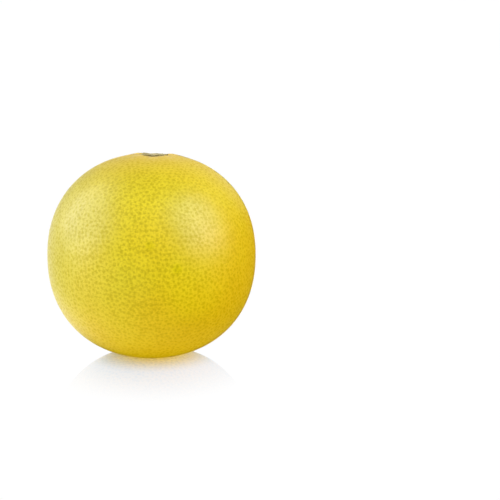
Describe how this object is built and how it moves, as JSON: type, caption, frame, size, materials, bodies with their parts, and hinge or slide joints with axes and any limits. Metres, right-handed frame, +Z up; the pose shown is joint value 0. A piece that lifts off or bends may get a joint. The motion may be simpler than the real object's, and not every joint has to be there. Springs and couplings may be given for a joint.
{
  "type": "lemon",
  "caption": "Whole round yellow lemon standing on a small flat spot, with its dry calyx in a shallow furrowed hollow on top.",
  "frame": {"origin": "middle of the flat spot that the fruit stands on", "axes": "+Z up from that flat spot to the stem end, which leans 10.5 degrees back towards +Y; +X to the right as seen from the front, -Y"},
  "size_m": [0.0639, 0.0634, 0.062],
  "materials": {
    "peel": "satin waxy citrus peel: fine pores over darker olive oil glands, paler round the calyx",
    "dry_stalk": "dry, dull, olive brown, with a paler fibrous scar in the middle"
  },
  "bodies": {
    "root": {"fruit": "peel", "calyx": "dry_stalk"}
  },
  "joints": []
}
